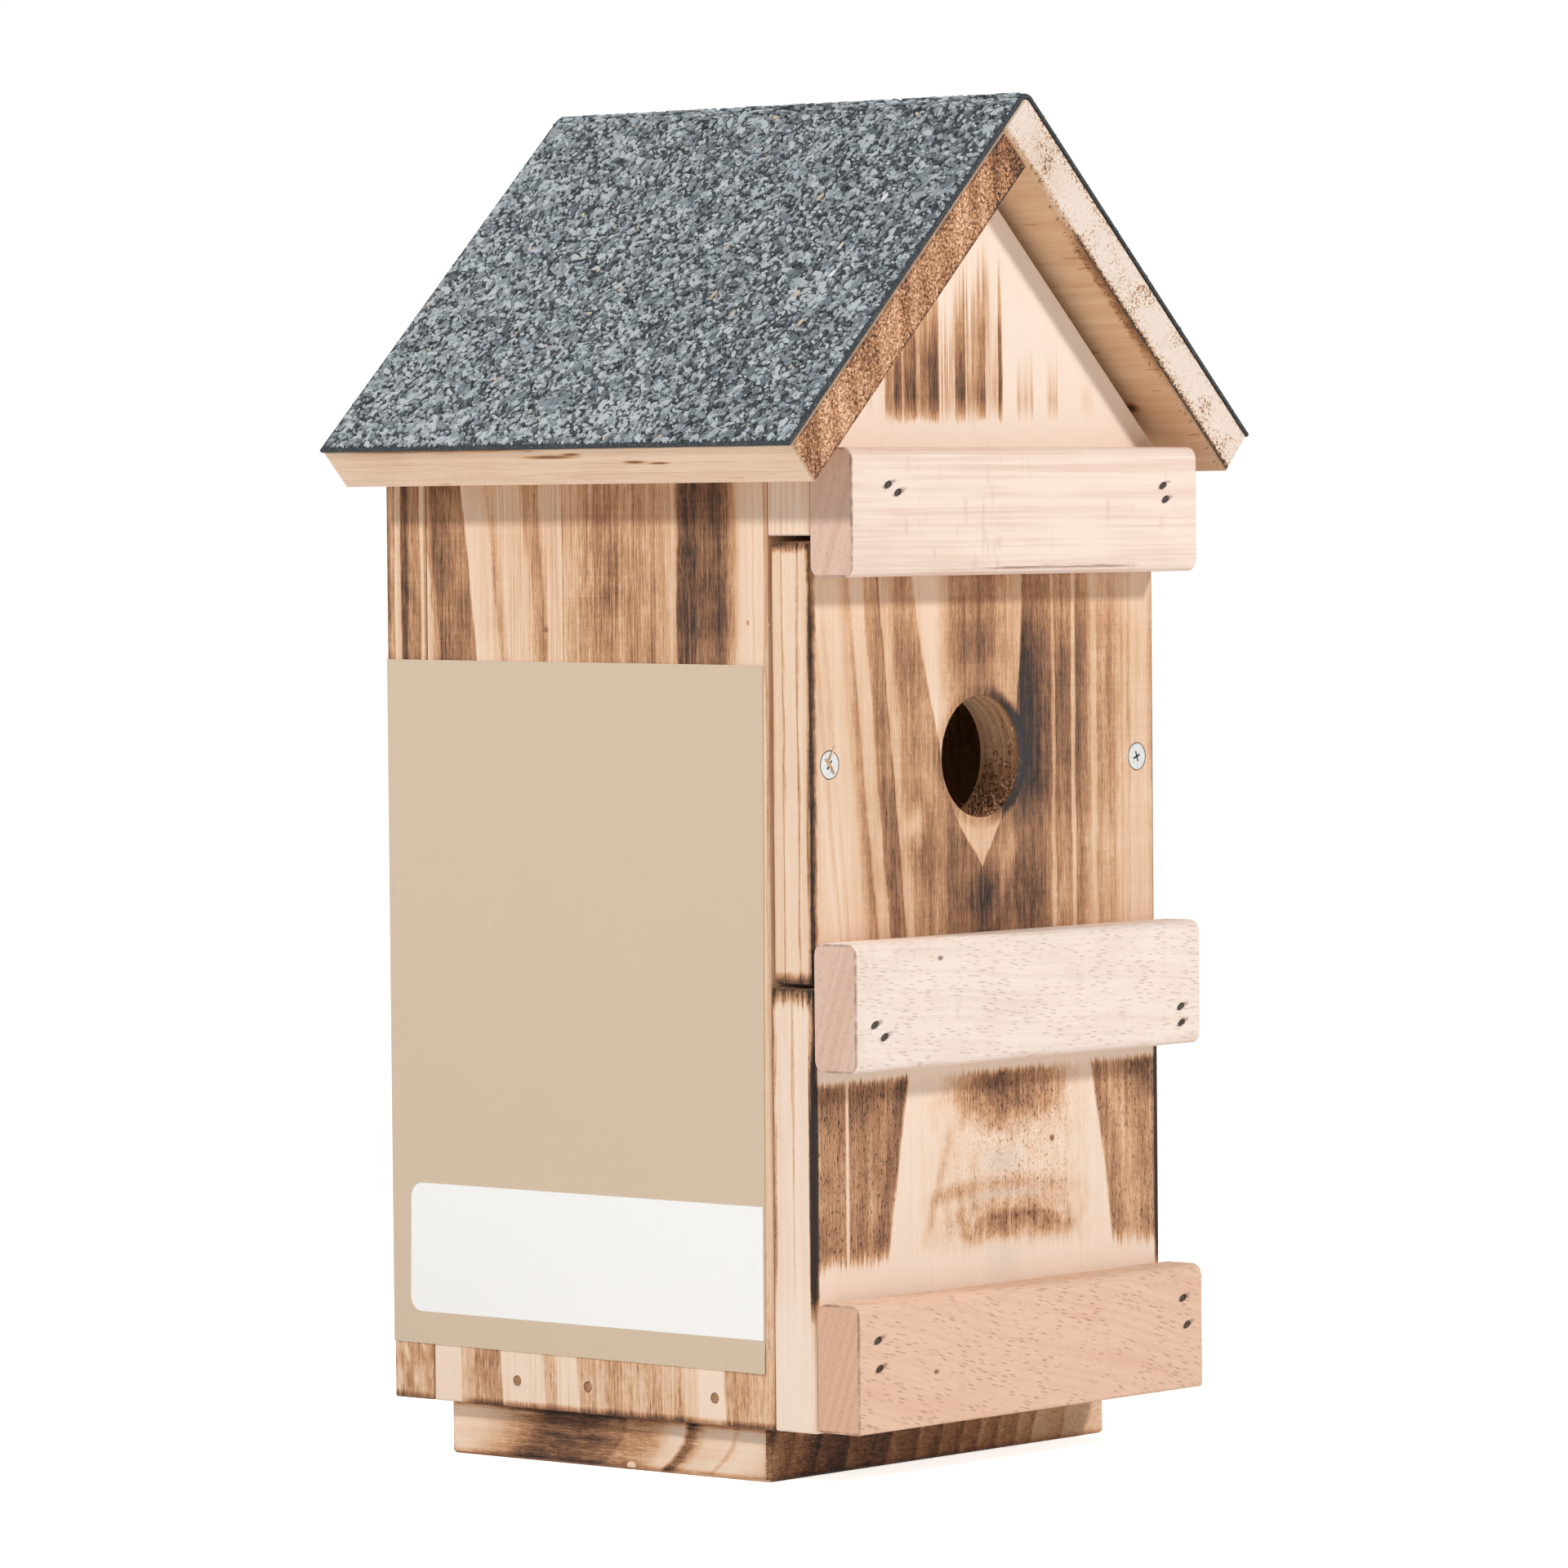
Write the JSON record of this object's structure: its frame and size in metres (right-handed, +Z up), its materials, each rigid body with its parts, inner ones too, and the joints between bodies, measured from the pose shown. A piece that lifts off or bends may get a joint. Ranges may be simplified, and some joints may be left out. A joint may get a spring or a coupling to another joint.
{
  "type": "nest box",
  "caption": "Gabled wooden bird nest box on a base board, with felted roof, round entrance hole and a front panel that slides out from behind rails.",
  "frame": {"origin": "middle of the box's footprint, on the ground that the base board stands on", "axes": "+Z up, -Y out of the front with the entrance hole, +X to the right of someone who faces the front"},
  "size_m": [0.191, 0.1632, 0.3582],
  "materials": {
    "flamed_wood": "planed softwood, flamed to brown stripes, no varnish",
    "roof_wood": "sawn softwood, raw, singed at the end grain",
    "base_wood": "planed softwood, flamed dark at the edges",
    "beech": "planed beech with rounded edges, raw",
    "slate_felt": "bitumen felt covered in blue-grey slate chips, matt",
    "nail_steel": "bare wire, dulled",
    "zinc": "zinc plated, slightly blue",
    "card": "smooth printed card, plain",
    "white_card": "smooth white card, plain"
  },
  "bodies": {
    "nest_box": {"side_wall_left": "flamed_wood", "side_wall_right": "flamed_wood", "back_wall": "flamed_wood", "floor_board": "flamed_wood", "lower_front_board": "flamed_wood", "front_gable_board": "flamed_wood", "base_board": "base_wood", "rail_top": "beech", "rail_middle": "beech", "rail_bottom": "beech", "roof_board_left": "roof_wood", "roof_board_right": "roof_wood", "roofing_felt": "slate_felt", "rail_top_nail_1": "nail_steel", "rail_top_nail_2": "nail_steel", "rail_top_nail_3": "nail_steel", "rail_top_nail_4": "nail_steel", "rail_middle_nail_1": "nail_steel", "rail_middle_nail_2": "nail_steel", "rail_middle_nail_3": "nail_steel", "rail_middle_nail_4": "nail_steel", "rail_bottom_nail_1": "nail_steel", "rail_bottom_nail_2": "nail_steel", "rail_bottom_nail_3": "nail_steel", "rail_bottom_nail_4": "nail_steel", "floor_nail_left_1": "nail_steel", "floor_nail_left_2": "nail_steel", "floor_nail_left_3": "nail_steel", "floor_nail_right_1": "nail_steel", "floor_nail_right_2": "nail_steel", "floor_nail_right_3": "nail_steel", "back_nail_left_1": "nail_steel", "back_nail_left_2": "nail_steel", "back_nail_left_3": "nail_steel", "back_nail_right_1": "nail_steel", "back_nail_right_2": "nail_steel", "back_nail_right_3": "nail_steel", "gable_nail_left_1": "nail_steel", "gable_nail_left_2": "nail_steel", "gable_nail_right_1": "nail_steel", "gable_nail_right_2": "nail_steel", "base_nail_1": "nail_steel", "base_nail_2": "nail_steel", "base_nail_3": "nail_steel", "base_nail_4": "nail_steel", "roof_nail_left_1": "nail_steel", "roof_nail_left_2": "nail_steel", "roof_nail_right_1": "nail_steel", "roof_nail_right_2": "nail_steel", "ridge_nail_1": "nail_steel", "ridge_nail_2": "nail_steel", "ridge_nail_3": "nail_steel"},
    "front_panel": {"front_panel": "flamed_wood"},
    "panel_screw_left": {"panel_screw_left": "zinc"},
    "panel_screw_right": {"panel_screw_right": "zinc"}
  },
  "joints": [
    {"name": "panel_slide", "type": "slide", "parent": "nest_box", "child": "front_panel", "axis": [1, 0, 0], "range_m": [-0.15, 0.15]},
    {"name": "panel_screw_left_out", "type": "slide", "parent": "front_panel", "child": "panel_screw_left", "axis": [0, -1, 0], "range_m": [0, 0.03]},
    {"name": "panel_screw_right_out", "type": "slide", "parent": "front_panel", "child": "panel_screw_right", "axis": [0, -1, 0], "range_m": [0, 0.03]}
  ]
}
